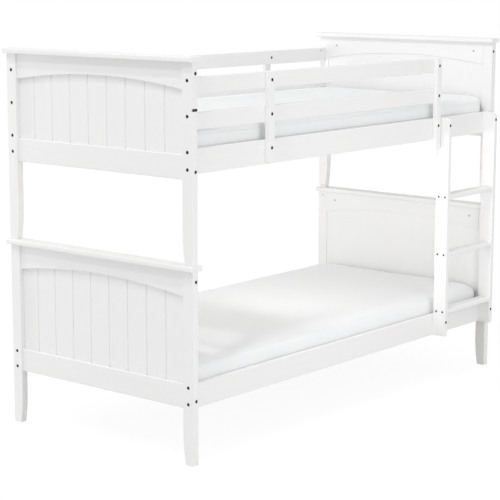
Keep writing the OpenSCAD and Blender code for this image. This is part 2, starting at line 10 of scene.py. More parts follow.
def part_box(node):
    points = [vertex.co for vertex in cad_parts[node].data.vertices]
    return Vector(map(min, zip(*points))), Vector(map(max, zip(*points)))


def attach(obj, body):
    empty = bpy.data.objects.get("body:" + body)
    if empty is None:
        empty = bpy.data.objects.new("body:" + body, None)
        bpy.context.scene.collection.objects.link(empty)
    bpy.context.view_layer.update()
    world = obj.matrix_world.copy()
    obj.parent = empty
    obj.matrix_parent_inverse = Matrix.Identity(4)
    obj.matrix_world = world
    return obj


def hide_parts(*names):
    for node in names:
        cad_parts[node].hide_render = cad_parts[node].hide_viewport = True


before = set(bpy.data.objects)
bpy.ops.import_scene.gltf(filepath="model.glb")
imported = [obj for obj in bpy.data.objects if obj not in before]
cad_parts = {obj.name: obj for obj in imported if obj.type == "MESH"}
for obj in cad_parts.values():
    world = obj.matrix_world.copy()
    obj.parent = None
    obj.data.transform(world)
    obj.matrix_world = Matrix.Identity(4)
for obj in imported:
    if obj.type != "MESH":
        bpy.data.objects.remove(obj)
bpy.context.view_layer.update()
scene = bpy.context.scene

X, Y, Z = 0, 1, 2
MM = 0.001
FULL_TURN = 2 * math.pi
QUARTER_TURN = 0.5 * math.pi

# Bodies of the part. Each mattress is a body of its own, named as its node.
FRAME_BODY = "bed_frame"
MATTRESSES = ("lower_mattress", "upper_mattress")

# Points of the CAD closer than this are one, and faces flatter than this are one.
MERGE_DISTANCE = 0.01 * MM
FLAT_ANGLE = math.radians(0.05)
SHARP_ANGLE = math.radians(32)
EXTREME_SLACK = 0.03 * MM

# A hole's rim is made of chords shorter than this, where facets turn inwards by these angles.
RIM_CHORD = 5.5 * MM
RIM_TURNS = (math.radians(-50), math.radians(-2))

ROUNDING_SEGMENTS = 3


# ---- node building ----


def feed(tree, socket, value):
    """Gives a node's input a plain value or another node's output."""
    value = getattr(value, "socket", value)
    if isinstance(value, bpy.types.NodeSocket):
        tree.links.new(value, socket)
    else:
        socket.default_value = value


def add_node(tree, kind, settings=None, inputs=None):
    """A node with its settings made first, then its inputs."""
    node = tree.nodes.new(kind)
    for key, value in (settings or {}).items():
        setattr(node, key, value)
    for key, value in (inputs or {}).items():
        feed(tree, node.inputs[key], value)
    return node


class Wire:
    """One value in a shader. Plain arithmetic on it adds Math nodes."""

    def __init__(self, finish, socket):
        self.finish = finish
        self.socket = socket

    def maths(self, operation, first, second=0.0):
        settings = {"operation": operation}
        return self.finish.add("ShaderNodeMath", settings, {0: first, 1: second})

    def __add__(self, other):
        return self.maths("ADD", self, other)

    def __sub__(self, other):
        return self.maths("SUBTRACT", self, other)

    def __rsub__(self, other):
        return self.maths("SUBTRACT", other, self)

    def __mul__(self, other):
        return self.maths("MULTIPLY", self, other)

    __radd__ = __add__

    def sine(self):
        return self.maths("SINE", self)

    def ramp(self, low, high):
        """0 at low and 1 at high, smooth between them."""
        settings = {"interpolation_type": "SMOOTHSTEP"}
        return self.finish.add("ShaderNodeMapRange", settings, {0: self, 1: low, 2: high})


MIX_FIRST, MIX_SECOND, MIX_RESULT = 6, 7, 2  # the colour sockets of a Mix node


class Finish:
    """A procedural material on one Principled shader."""

    def __init__(self, name, **constants):
        self.material = bpy.data.materials.new(name)
        self.material.use_nodes = True
        self.tree = self.material.node_tree
        self.shader = self.tree.nodes["Principled BSDF"]
        for socket, value in constants.items():
            self.shader.inputs[socket.replace("_", " ")].default_value = value

    def add(self, kind, settings=None, inputs=None, output=0):
        """Adds a node and returns one of its outputs."""
        return Wire(self, add_node(self.tree, kind, settings, inputs).outputs[output])

    def place(self, scale=(1, 1, 1)):
        """The point on the object in metres, stretched by scale."""
        point = self.add("ShaderNodeTexCoord", output="Object")
        return self.add("ShaderNodeMapping", {}, {"Vector": point, "Scale": scale})

    def attribute(self, name):
        return self.add("ShaderNodeAttribute", {"attribute_name": name}, output="Fac")

    def shifted(self, point, amount, step=(37.0, 17.0, 29.0)):
        """The point moved along step by amount, so that each board has its own pattern."""
        settings = {"operation": "SCALE"}
        move = self.add("ShaderNodeVectorMath", settings, {0: step, "Scale": amount})
        return self.add("ShaderNodeVectorMath", {"operation": "ADD"}, {0: point, 1: move})

    def noise(self, point, scale, detail, roughness, distortion=0.0):
        inputs = {"Vector": point, "Scale": scale, "Detail": detail}
        inputs |= {"Roughness": roughness, "Distortion": distortion}
        return self.add("ShaderNodeTexNoise", {}, inputs)

    def split(self, point):
        return [self.add("ShaderNodeSeparateXYZ", {}, {0: point}, axis) for axis in (X, Y, Z)]

    def mix(self, amount, first, second):
        inputs = {0: amount, MIX_FIRST: first, MIX_SECOND: second}
        return self.add("ShaderNodeMix", {"data_type": "RGBA"}, inputs, MIX_RESULT)

    def bump(self, height, distance, strength, under=None):
        """A normal from a height pattern, laid over another normal if there is one."""
        inputs = {"Strength": strength, "Distance": distance, "Height": height}
        if under:
            inputs["Normal"] = under
        return self.add("ShaderNodeBump", {}, inputs)

    def done(self, **links):
        """Links what varies over the surface and returns the material."""
        for socket, value in links.items():
            feed(self.tree, self.shader.inputs[socket.replace("_", " ")], value)
        return self.material


GRAIN_PACE = 0.05  # how fast a pattern changes along the grain, against across it
BRUSH_PACE = 0.018
PINE_PACE = 0.055
RING_PACE = 520.0  # growth rings, in radians per metre
BRUSH_SHIFT = (5.0, 11.0, 7.0)
COVER_WEAVE = 1.4 * MM
TAPE_WEAVE = 0.9 * MM
THREAD_WEAVE = 0.5 * MM
WEAVE_WANDER = 0.4 * MM


def grey(value, warmth=0.0):
    """A near-white or grey colour; warmth takes a little blue away, or adds it where negative."""
    return (value, value * (1 - warmth * 0.5), value * (1 - warmth), 1.0)


def painted_wood(name, grain):
    """Satin white paint on planed wood, its grain just showing through along one axis."""
    finish = Finish(name, Coat_Roughness=0.25, IOR=1.46)
    board = finish.attribute("board")
    edge = finish.attribute("edge")
    along = [1.0, 1.0, 1.0]
    along[grain] = GRAIN_PACE
    fibres = finish.shifted(finish.place(along), board)
    along[grain] = BRUSH_PACE
    strokes = finish.shifted(finish.place(along), board, BRUSH_SHIFT)
    broad = finish.noise(fibres, 55.0, 3.0, 0.5, 0.6)
    fine = finish.noise(fibres, 420.0, 4.0, 0.6)
    brushed = finish.noise(strokes, 700.0, 2.0, 0.5)
    peel = finish.noise(finish.place(), 520.0, 2.0, 0.4)
    cloud = finish.noise(finish.place(), 3.5, 2.0, 0.5)
    height = broad * 0.45 + fine * 0.3 + brushed * 0.2 + peel * 0.25
    pores = fine.ramp(0.56, 0.74)
    shade = broad.ramp(0.3, 0.7) * 0.5 + board * 0.3
    tone = finish.mix(shade, grey(0.885, 0.006), grey(0.9, 0.003))
    tone = finish.mix(pores * 0.08, tone, grey(0.8, 0.012))
    tone = finish.mix(cloud.ramp(0.35, 0.7) * 0.1, tone, grey(0.87, 0.008))
    # The rounded edges are painted lighter: partly wear, partly a painted highlight where light
    # catches them.
    tone = finish.mix(edge * 0.3, tone, grey(0.92, 0.01))
    rough = 0.36 + broad * 0.08 + pores * 0.08 + cloud * 0.06 - edge * 0.08
    return finish.done(
        Base_Color=tone,
        Roughness=rough,
        Coat_Weight=0.12 + edge * 0.1,
        Normal=finish.bump(height, 0.1 * MM, 0.45),
    )


def bare_pine(name):
    """Planed, lightly limed pine along Y, with growth rings, pores and a few knots."""
    finish = Finish(name, IOR=1.45)
    board = finish.attribute("board")
    edge = finish.attribute("edge")
    fibres = finish.shifted(finish.place((1.0, PINE_PACE, 1.0)), board)
    swirl = finish.noise(fibres, 9.0, 2.0, 0.45)
    x, _, z = finish.split(fibres)
    rings = ((x + z * 0.6 + swirl * 0.11) * RING_PACE).sine() * 0.5 + 0.5
    late = rings.ramp(0.45, 1.0)
    fine = finish.noise(fibres, 600.0, 4.0, 0.6)
    scattered = {"Vector": finish.shifted(finish.place((1.0, 0.35, 1.0)), board), "Scale": 7.0}
    knots = finish.add("ShaderNodeTexVoronoi", {}, scattered)
    knot = 1.0 - knots.ramp(0.03, 0.09)
    tone = finish.mix(late, (0.86, 0.825, 0.765, 1.0), (0.78, 0.72, 0.64, 1.0))
    tone = finish.mix(fine.ramp(0.35, 0.75) * 0.35, tone, (0.88, 0.85, 0.8, 1.0))
    tone = finish.mix(knot * 0.75, tone, (0.42, 0.3, 0.2, 1.0))
    # The rounded edges are painted lighter: partly wear, partly a painted highlight where light
    # catches them.
    tone = finish.mix(edge * 0.25, tone, (0.89, 0.86, 0.81, 1.0))
    height = late * 0.5 + fine * 0.5 - knot * 0.3
    return finish.done(
        Base_Color=tone,
        Roughness=0.58 + fine * 0.14 - late * 0.1,
        Normal=finish.bump(height, 0.25 * MM, 0.6),
    )


def woven_cover(name, whiteness, thread, crease=1.0):
    """White woven cotton: crossing threads with painted shade in their hollows, a little fuzz and
    soft unevenness.
    """
    finish = Finish(name, Sheen_Weight=0.25, Sheen_Roughness=0.5, Specular_IOR_Level=0.25)
    point = finish.place()
    wander = finish.noise(point, 60.0, 2.0, 0.5)
    x, y, z = finish.split(point)
    turns = FULL_TURN / thread
    warp, weft, rise = (((a + wander * WEAVE_WANDER) * turns).sine() for a in (x, y, z))
    weave = warp * weft + weft * rise + rise * warp
    slub = finish.noise(finish.place((1.0, 0.08, 1.0)), 260.0, 2.0, 0.5)
    fuzz = finish.noise(point, 1500.0, 2.0, 0.6)
    folds = finish.noise(point, 9.0, 3.0, 0.5, 0.4)
    wide = finish.noise(point, 2.2, 2.0, 0.5)
    # Shaded and lit copies of the white: the weave's hollows get painted shade and its crossings
    # a painted highlight.
    deep, bright = grey(whiteness * 0.94, -0.016), grey(whiteness, -0.018)
    tone = finish.mix(weave.ramp(-1.6, 1.6), deep, bright)
    tone = finish.mix(slub.ramp(0.4, 0.8) * 0.2, tone, grey(whiteness * 0.92, -0.014))
    tone = finish.mix(wide.ramp(0.3, 0.75) * 0.25, tone, grey(whiteness * 0.96, -0.016))
    height = weave * 0.12 + slub * 0.3 + fuzz * 0.25
    threads = finish.bump(height, 0.22 * MM, 0.6)
    return finish.done(
        Base_Color=tone,
        Roughness=0.82 + fuzz * 0.12 - weave * 0.02,
        Normal=finish.bump(folds, 1.6 * MM * crease, 0.5, threads),
    )


def plated_metal(name, dark, light, roughness, wear):
    """Plated steel, rubbed a little brighter on its rims."""
    finish = Finish(name, Metallic=1.0)
    board = finish.attribute("board")
    edge = finish.attribute("edge")
    point = finish.shifted(finish.place(), board)
    grain = finish.noise(point, 900.0, 3.0, 0.6)
    stain = finish.noise(point, 160.0, 3.0, 0.55)
    tone = finish.mix(stain.ramp(0.35, 0.7), dark, light)
    tone = finish.mix(edge * wear, tone, grey(0.42, 0.12))
    return finish.done(
        Base_Color=tone,
        Roughness=roughness + grain * 0.16 + stain * 0.1 - edge * 0.1,
        Normal=finish.bump(grain * 0.6 + stain * 0.4, 0.05 * MM, 0.5),
    )


def printed_mark(name):
    """Black ink printed across the paint, thin and slightly uneven."""
    finish = Finish(name)
    point = finish.place()
    speck = finish.noise(point, 1300.0, 3.0, 0.6)
    film = finish.noise(point, 240.0, 2.0, 0.5)
    tone = finish.mix(speck.ramp(0.62, 0.8), grey(0.012), grey(0.05, 0.05))
    return finish.done(
        Base_Color=tone,
        Roughness=0.42 + film * 0.2,
        Normal=finish.bump(speck * 0.5 + film * 0.5, 0.03 * MM, 0.5),
    )


PAINT = {axis: painted_wood("white_paint_grain_" + "xyz"[axis], axis) for axis in (X, Y, Z)}
PINE = bare_pine("bare_pine_grain_y")
COVER = woven_cover("woven_cotton_cover", 0.922, COVER_WEAVE)
TAPE = woven_cover("cotton_seam_tape", 0.912, TAPE_WEAVE, 0.2)
THREAD = woven_cover("cotton_thread", 0.892, THREAD_WEAVE, 0.1)
BRONZED = plated_metal(
    "black_bronzed_steel", (0.016, 0.012, 0.01, 1.0), (0.05, 0.036, 0.026, 1.0), 0.34, 0.35
)
ZINC = plated_metal("zinc_plated_steel", grey(0.5, 0.03), grey(0.62, 0.0), 0.28, 0.2)
INK = printed_mark("black_ink")


# ---- meshes ----


def new_piece(name, mesh, material):
    """An object in the scene with one material."""
    piece = bpy.data.objects.new(name, mesh)
    scene.collection.objects.link(piece)
    mesh.materials.clear()
    mesh.materials.append(material)
    return piece


def finished_mesh(piece):
    """The piece's mesh with its modifiers applied; the modifiers are then gone."""
    graph = bpy.context.evaluated_depsgraph_get()
    mesh = bpy.data.meshes.new_from_object(piece.evaluated_get(graph))
    piece.modifiers.clear()
    piece.data = mesh
    return mesh


def mesh_of(solid, name):
    """A bmesh turned into a mesh and let go."""
    mesh = bpy.data.meshes.new(name)
    solid.to_mesh(mesh)
    solid.free()
    return mesh


def smooth_faces(mesh):
    mesh.polygons.foreach_set("use_smooth", np.ones(len(mesh.polygons), bool))


def points_of(mesh):
    points = np.empty(len(mesh.vertices) * 3)
    mesh.vertices.foreach_get("co", points)
    return points.reshape(-1, 3)


def set_points(mesh, points):
    mesh.vertices.foreach_set("co", points.ravel())
    mesh.update()


def join_rings(solid, near, far):
    """Faces between two rings of points of the same number."""
    count = len(near)
    for i in range(count):
        j = (i + 1) % count
        solid.faces.new([near[i], near[j], far[j], far[i]])


def declare(piece, body, slot, *nodes):
    """Says which body carries a piece and which CAD nodes it stands for; slot, what it is made
    of, is not used.
    """
    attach(piece, body)
    if nodes:
        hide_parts(*nodes)


def solid_of(node):
    """A node's CAD solids as one bmesh, its double points merged."""
    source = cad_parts[node].data
    solid = bmesh.new()
    corners = [solid.verts.new(v.co) for v in source.vertices]
    for face in source.polygons:
        solid.faces.new([corners[i] for i in face.vertices])
    bmesh.ops.remove_doubles(solid, verts=solid.verts, dist=MERGE_DISTANCE)
    return solid


def merge_flat_faces(solid):
    bmesh.ops.dissolve_limit(
        solid,
        angle_limit=FLAT_ANGLE,
        verts=solid.verts,
        edges=solid.edges,
        use_dissolve_boundaries=False,
    )


def corners_of(solid):
    points = np.array([v.co for v in solid.verts])
    return points.min(0), points.max(0)


def shared_extremes(edge, low, high):
    """The axes along which both ends of an edge lie on the same side of the solid's box."""
    first, second = (v.co for v in edge.verts)
    shared = []
    for axis in (X, Y, Z):
        for limit in (low[axis], high[axis]):
            if all(abs(end[axis] - limit) < EXTREME_SLACK for end in (first, second)):
                shared.append(axis)
    return shared


def is_on_hole_rim(vertex):
    """True on the rim of a round hole, where neighbouring facets turn inwards."""
    for edge in vertex.link_edges:
        if len(edge.link_faces) == 2:
            turn = edge.calc_face_angle_signed(0.0)
            if RIM_TURNS[0] < turn < RIM_TURNS[1]:
                return True
    return False


def weigh_edges(solid, grain, radii, profile_axes):
    """Sets each edge's share of the largest radius: long edges, ends and hole rims differ."""
    low, high = corners_of(solid)
    long_radius, end_radius, rim_radius = radii
    layer = solid.edges.layers.float.new("bevel_weight_edge")
    for edge in solid.edges:
        edge.smooth = True
        if len(edge.link_faces) != 2:
            continue
        turn = edge.calc_face_angle_signed(0.0)
        if abs(turn) < SHARP_ANGLE:
            continue
        radius = 0.0
        if turn > 0:
            shared = shared_extremes(edge, low, high)
            short = edge.calc_length() < RIM_CHORD
            if short and all(is_on_hole_rim(v) for v in edge.verts):
                radius = rim_radius if shared else 0.0
            elif grain in shared:
                radius = end_radius
            elif len(shared) > 1 or any(axis in profile_axes for axis in shared):
                radius = long_radius
        edge[layer] = radius / long_radius
        edge.smooth = radius > 0


def mark_worn_and_highlit_edges(mesh, board):
    """Gives a board its own number and marks the middle of its rounded edges, where wear and a
    painted highlight go.
    """
    count = len(mesh.vertices)
    flat = np.zeros(count, bool)
    used = np.zeros(count, bool)
    for face in mesh.polygons:
        kind = used if face.material_index else flat
        kind[list(face.vertices)] = True
    store(mesh, "edge", (used & ~flat).astype(np.float32))
    store(mesh, "board", np.full(count, board, np.float32))
    mesh.polygons.foreach_set("material_index", np.zeros(len(mesh.polygons), np.int32))


def store(mesh, name, values):
    """One number for each point of a mesh, for the materials to read."""
    layer = mesh.attributes.get(name) or mesh.attributes.new(name, "FLOAT", "POINT")
    layer.data.foreach_set("value", values)


def rounded(piece, width, number):
    """Rounds the edges that carry a weight; the new faces tell where the wood is worn and where
    its edges get a painted highlight.
    """
    piece.data.materials.append(piece.data.materials[0])
    bevel = piece.modifiers.new("Rounding", "BEVEL")
    bevel.width = width
    bevel.limit_method = "WEIGHT"
    bevel.segments = ROUNDING_SEGMENTS
    bevel.use_clamp_overlap = False
    bevel.harden_normals = True
    bevel.material = 1
    mesh = finished_mesh(piece)
    mark_worn_and_highlit_edges(mesh, number)
    mesh.materials.pop(index=1)
    return mesh


BOARD_SEED = 41
board_numbers = np.random.default_rng(BOARD_SEED)


def wooden_piece(node, grain, radii, profile_axes=(), prepare=None):
    """A board made from its CAD solid, with edges rounded as planed and painted wood has them."""
    solid = solid_of(node)
    if prepare:
        prepare(solid)
    merge_flat_faces(solid)
    weigh_edges(solid, grain, [r * MM for r in radii], profile_axes)
    mesh = mesh_of(solid, node + "_wood")
    smooth_faces(mesh)
    piece = new_piece(node + "_wood", mesh, PAINT[grain])
    rounded(piece, radii[0] * MM, board_numbers.random())
    declare(piece, FRAME_BODY, "painted_wood", node)


# ---- the wooden frame ----

# Each kind of board: its grain, the radii of its edges in millimetres (along the grain, round
# the ends and round the bolt holes) and the axes across which its outline is curved or cut.
BOARDS = {
    "side_rail": (X, (2.5, 0.6, 0.35)),
    "ledger": (X, (1.5, 0.6, 0.3)),
    "cap": (Y, (2.0, 2.0, 0.4)),
    "top_rail": (Y, (2.0, 0.4, 0.35), (X,)),
    "bottom_rail": (Y, (3.6, 0.4, 0.35)),
    "panel": (Z, (0.7, 0.3, 0.3), (X,)),
    "board": (X, (2.5, 0.8, 0.35)),
    "guard_post": (Z, (2.5, 2.5, 0.35)),
    "stile": (Z, (2.0, 2.0, 0.35), (X,)),
    "rung": (X, (0.4, 0.4, 0.3)),
}
POST_RADII = (2.5, 1.2, 0.35)
SLAT_RADII = (2.5, 0.8, 0.3)

MARK_FILM = 0.15 * MM
MARK_STEPS = 6
mark_low, mark_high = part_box("mattress_height_mark")


def fill_mark(solid):
    """Closes the shallow step for the printed mark, so that the post's edges run on."""
    for vertex in solid.verts:
        deep = abs(vertex.co.y - mark_high.y) < EXTREME_SLACK
        if deep and mark_low.z - EXTREME_SLACK < vertex.co.z < mark_high.z + EXTREME_SLACK:
            vertex.co.y = mark_low.y
    bmesh.ops.remove_doubles(solid, verts=solid.verts, dist=MERGE_DISTANCE)
    bmesh.ops.dissolve_degenerate(solid, edges=solid.edges, dist=MERGE_DISTANCE)


GROOVE_DEPTH = 3.0 * MM
GROOVE_SEEN_DEPTH = 5.2 * MM
GROOVE_SLACK = 0.2 * MM


def deepen_grooves(solid):
    """Draws the bottom of each groove in, as the gap between tongue and groove boards is."""
    low, high = corners_of(solid)
    outer = low[X] if low[X] < 0 else high[X]
    for vertex in solid.verts:
        if abs(abs(vertex.co.x - outer) - GROOVE_DEPTH) < GROOVE_SLACK:
            vertex.co.x = outer - math.copysign(GROOVE_SEEN_DEPTH, outer)


def build_frame():
    """Posts, rails, ledgers, caps and panels of both beds, then the guard and the ladder."""
    for level in ("lower", "upper"):
        for row in ("front", "rear"):
            for end in ("left", "right"):
                node = f"{level}_{row}_{end}_post"
                marked = fill_mark if node == "upper_front_left_post" else None
                wooden_piece(node, Z, POST_RADII, (X,), prepare=marked)
            for kind in ("side_rail", "ledger"):
                wooden_piece(f"{level}_{row}_{kind}", *BOARDS[kind])
        for end in ("left", "right"):
            for kind in ("cap", "top_rail", "bottom_rail"):
                wooden_piece(f"{level}_{end}_{kind}", *BOARDS[kind])
            wooden_piece(f"{level}_{end}_panel", *BOARDS["panel"], prepare=deepen_grooves)
    for row in ("front", "rear"):
        for place in ("top", "lower"):
            wooden_piece(f"{row}_guard_{place}_board", *BOARDS["board"])
    for place in ("front_guard_middle", "front_guard_end", "rear_guard_left", "rear_guard_right"):
        wooden_piece(place + "_post", *BOARDS["guard_post"])
    for side in ("left", "right"):
        wooden_piece(f"ladder_{side}_stile", *BOARDS["stile"])
    for place in ("top", "middle", "bottom"):
        wooden_piece(f"ladder_{place}_rung", *BOARDS["rung"])


def build_height_mark():
    """The printed mark follows the rounded front of the post, a film thick."""
    radius = POST_RADII[0] * MM
    outline = []
    for offset in (MARK_FILM, 0.0):
        path = []
        corners = ((mark_low.x + radius, math.pi), (mark_high.x - radius, 1.5 * math.pi))
        for centre_x, start in corners:
            for i in range(MARK_STEPS + 1):
                angle = start + QUARTER_TURN * i / MARK_STEPS
                reach = radius + offset
                x = centre_x + reach * math.cos(angle)
                y = mark_low.y + radius + reach * math.sin(angle)
                path.append((x, y))
        outline += path if offset else path[::-1]
    solid = bmesh.new()
    rings = [[solid.verts.new((x, y, z)) for x, y in outline] for z in (mark_low.z, mark_high.z)]
    join_rings(solid, *rings)
    last = len(outline) - 1
    for ring in rings:
        for i in range(len(outline) // 2 - 1):
            solid.faces.new([ring[i], ring[i + 1], ring[last - 1 - i], ring[last - i]])
    bmesh.ops.recalc_face_normals(solid, faces=solid.faces)
    name = "mattress_height_mark_ink"
    piece = new_piece(name, mesh_of(solid, name), INK)
    declare(piece, FRAME_BODY, "black_mark", "mattress_height_mark")


build_frame()
build_height_mark()


# ---- fittings, slats and stitches, laid out by Geometry Nodes ----


def islands_of(node):
    """The separate solids of a node: the points of each as one array."""
    solid = solid_of(node)
    seen = set()
    found = []
    for start in solid.verts:
        if start in seen:
            continue
        seen.add(start)
        group = [start]
        for vertex in group:
            for edge in vertex.link_edges:
                other = edge.other_vert(vertex)
                if other not in seen:
                    seen.add(other)
                    group.append(other)
        found.append(np.array([v.co for v in group]))
    solid.free()
    return found


PLACING_INPUTS = {
    "Geometry": "NodeSocketGeometry",
    "Part": "NodeSocketObject",
    "Finish": "NodeSocketMaterial",
    "Turn": "NodeSocketFloat",
    "Seed": "NodeSocketInt",
}


def placing_tree():
    """Puts one copy of a part on each point, facing the point's way, then makes it real."""
    tree = bpy.data.node_groups.new("part_on_each_point", "GeometryNodeTree")
    ids = {}
    for name, kind in PLACING_INPUTS.items():
        item = tree.interface.new_socket(name, in_out="INPUT", socket_type=kind)
        ids[name] = item.identifier
    tree.interface.new_socket("Geometry", in_out="OUTPUT", socket_type="NodeSocketGeometry")
    given = tree.nodes.new("NodeGroupInput").outputs

    def add(kind, settings, inputs, output=0):
        return add_node(tree, kind, settings, inputs).outputs[output]

    source = {"Object": given["Part"]}
    part = add("GeometryNodeObjectInfo", {"transform_space": "ORIGINAL"}, source, "Geometry")
    vector = {"data_type": "FLOAT_VECTOR"}
    facing = add("GeometryNodeInputNamedAttribute", vector, {"Name": "facing"})
    turned = add("FunctionNodeAlignRotationToVector", {"axis": "Z"}, {"Vector": facing})
    along = add("GeometryNodeInputNamedAttribute", vector, {"Name": "along"})
    turned = add(
        "FunctionNodeAlignRotationToVector",
        {"axis": "X", "pivot_axis": "Z"},
        {"Rotation": turned, "Vector": along},
    )
    inputs = {"Points": given["Geometry"], "Instance": part, "Rotation": turned}
    copies = add("GeometryNodeInstanceOnPoints", {}, inputs)
    seed = {"Seed": given["Seed"]}
    number = add("FunctionNodeRandomValue", {"data_type": "FLOAT"}, seed, 1)
    angle = add("ShaderNodeMath", {"operation": "MULTIPLY"}, {0: number, 1: given["Turn"]})
    spin = add("ShaderNodeCombineXYZ", {}, {2: angle})
    copies = add("GeometryNodeRotateInstances", {}, {"Instances": copies, "Rotation": spin})
    kept = add(
        "GeometryNodeStoreNamedAttribute",
        {"data_type": "FLOAT", "domain": "INSTANCE"},
        {"Geometry": copies, "Name": "board", "Value": number},
    )
    real = add("GeometryNodeRealizeInstances", {}, {"Geometry": kept})
    dressed = add("GeometryNodeSetMaterial", {}, {"Geometry": real, "Material": given["Finish"]})
    add_node(tree, "NodeGroupOutput", {}, {0: dressed})
    return tree, ids


PLACING, PLACING_IDS = placing_tree()


def placed_parts(name, points, facings, part_mesh, material, seed, turn=0.0, along=None):
    """A plain mesh of copies of a part, each at a point and turned its own way."""
    part = bpy.data.objects.new(name + "_part", part_mesh)
    scene.collection.objects.link(part)
    mesh = bpy.data.meshes.new(name)
    mesh.from_pydata([tuple(p) for p in points], [], [])
    for key, vectors in (("facing", facings), ("along", along)):
        if vectors is not None:
            layer = mesh.attributes.new(key, "FLOAT_VECTOR", "POINT")
            layer.data.foreach_set("vector", np.array(vectors, np.float32).ravel())
    piece = new_piece(name, mesh, material)
    modifier = piece.modifiers.new("Placing", "NODES")
    modifier.node_group = PLACING
    values = {"Part": part, "Finish": material, "Turn": turn, "Seed": seed}
    for key, value in values.items():
        modifier[PLACING_IDS[key]] = value
    mesh = finished_mesh(piece)
    bpy.data.objects.remove(part)
    mesh.name = name
    return piece


TURNED_SEGMENTS = 32
HEX_SECTOR = math.pi / 3
WORN_RIM_SHARE = 0.86
WORN_RIM_DEPTH = 0.8 * MM


def turned_ring(solid, z, reach_at):
    """A ring of points at height z; reach_at gives the radius at an angle."""
    ring = []
    for i in range(TURNED_SEGMENTS):
        angle = FULL_TURN * i / TURNED_SEGMENTS
        reach = reach_at(angle)
        ring.append(solid.verts.new((reach * math.cos(angle), reach * math.sin(angle), z)))
    return ring


def lathe(profile, socket=None, slot_width=None):
    """A turned part from points (radius, z), its outer face at z = 0 and its body below."""
    solid = bmesh.new()
    rings = []
    if socket:
        width, depth = socket

        def hexagon(angle):
            sector = (angle + HEX_SECTOR / 2) % HEX_SECTOR - HEX_SECTOR / 2
            return width / 2 / math.cos(sector)

        rings = [turned_ring(solid, z, hexagon) for z in (-depth, 0.0)]
    for radius, z in profile:
        rings.append(turned_ring(solid, z, lambda angle: radius))
    solid.faces.new(rings[0])
    for near, far in zip(rings, rings[1:]):
        join_rings(solid, near, far)
    solid.faces.new(rings[-1])
    bmesh.ops.recalc_face_normals(solid, faces=solid.faces)
    if slot_width:
        cut_slot(solid, slot_width)
    for edge in solid.edges:
        turn = edge.calc_face_angle_signed(0.0)
        edge.smooth = len(edge.link_faces) != 2 or abs(turn) < SHARP_ANGLE
    mesh = mesh_of(solid, "turned_part")
    smooth_faces(mesh)
    points = points_of(mesh)
    radius = np.hypot(points[:, X], points[:, Y])
    rim = (radius > radius.max() * WORN_RIM_SHARE) & (points[:, Z] > -WORN_RIM_DEPTH)
    store(mesh, "edge", rim.astype(np.float32))
    return mesh


SLOT_DEPTH = 0.9 * MM


def cut_slot(solid, width):
    """Sinks a screwdriver slot into the outer face."""
    for side in (-1, 1):
        bmesh.ops.bisect_plane(
            solid,
            geom=solid.verts[:] + solid.edges[:] + solid.faces[:],
            plane_co=(side * width / 2, 0, 0),
            plane_no=(side, 0, 0),
        )
    faces = []
    for face in solid.faces:
        centre = face.calc_center_median()
        if face.normal.z > 0.9 and abs(centre.x) < width / 2 and centre.z > -0.1 * MM:
            faces.append(face)
    sunk = bmesh.ops.extrude_face_region(solid, geom=faces)
    bmesh.ops.delete(solid, geom=faces, context="FACES_ONLY")
    moved = [g for g in sunk["geom"] if isinstance(g, bmesh.types.BMVert)]
    bmesh.ops.translate(solid, verts=moved, vec=(0, 0, -SLOT_DEPTH))
    bmesh.ops.recalc_face_normals(solid, faces=solid.faces)


HEAD_RIM = 0.3 * MM
post_corners = np.array([*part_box("upper_front_left_post"), *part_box("upper_rear_right_post")])
middle = (post_corners.min(0) + post_corners.max(0)) / 2


def seats_of(node, faces_inwards):
    """Where each fitting's outer face is, which way it faces, and how long and wide it is."""
    seats = []
    for points in islands_of(node):
        low, high = points.min(0), points.max(0)
        size = high - low
        spread = [abs(size[(a + 1) % 3] - size[(a + 2) % 3]) for a in (X, Y, Z)]
        axis = int(np.argmin(spread))
        others = [a for a in (X, Y, Z) if a != axis]
        centre = (low + high) / 2
        if faces_inwards:
            sign = -1 if centre[axis] > middle[axis] else 1
        else:
            reach = np.hypot(*(points[:, a] - centre[a] for a in others))
            head = points[reach > reach.max() - HEAD_RIM, axis].mean()
            sign = 1 if head > centre[axis] else -1
        facing = np.zeros(3)
        facing[axis] = sign
        place = centre.copy()
        place[axis] = high[axis] if sign > 0 else low[axis]
        seats.append((place, facing, size[axis], size[others[0]]))
    return seats


BOLT_HEAD = 4.0 * MM
BOLT_SHANK = 6.0 * MM


def bolt_profile(width, length):
    """A flat-headed connector bolt: chamfered rim, short neck fillet and a pointed end."""
    r = width / 2
    s = BOLT_SHANK / 2
    return [
        (r - 0.9 * MM, 0.0),
        (r - 0.35 * MM, -0.12 * MM),
        (r, -0.5 * MM),
        (r, -BOLT_HEAD + 1.2 * MM),
        (r - 0.5 * MM, -BOLT_HEAD),
        (s + 0.4 * MM, -BOLT_HEAD),
        (s, -BOLT_HEAD - 0.5 * MM),
        (s, -length + 1.2 * MM),
        (s - 1.0 * MM, -length),
    ]


def screw_profile(width, length):
    """A countersunk wood screw."""
    r = width / 2
    return [
        (r - 0.3 * MM, 0.0),
        (r, -0.3 * MM),
        (r * 0.55, -3.0 * MM),
        (r * 0.5, -4.0 * MM),
        (r * 0.5, -length + 5.0 * MM),
        (0.4 * MM, -length),
    ]


def nut_profile(width, length, chamfer=0.5 * MM):
    """A cylinder with chamfered ends."""
    r = width / 2
    return [
        (r - chamfer - 0.3 * MM, 0.0),
        (r - chamfer, -0.06 * MM),
        (r, -chamfer),
        (r, -length + chamfer),
        (r - chamfer, -length),
    ]


def short_screw_profile(width, length):
    return nut_profile(width, length, 0.4 * MM)


def pin_profile(width, length):
    return nut_profile(width, length, 1.0 * MM)


SEAT_SINK = 0.15 * MM
LENGTH_STEP = 0.1 * MM
DARK = ("dark_steel", BRONZED)
BRIGHT = ("zinc_steel", ZINC)


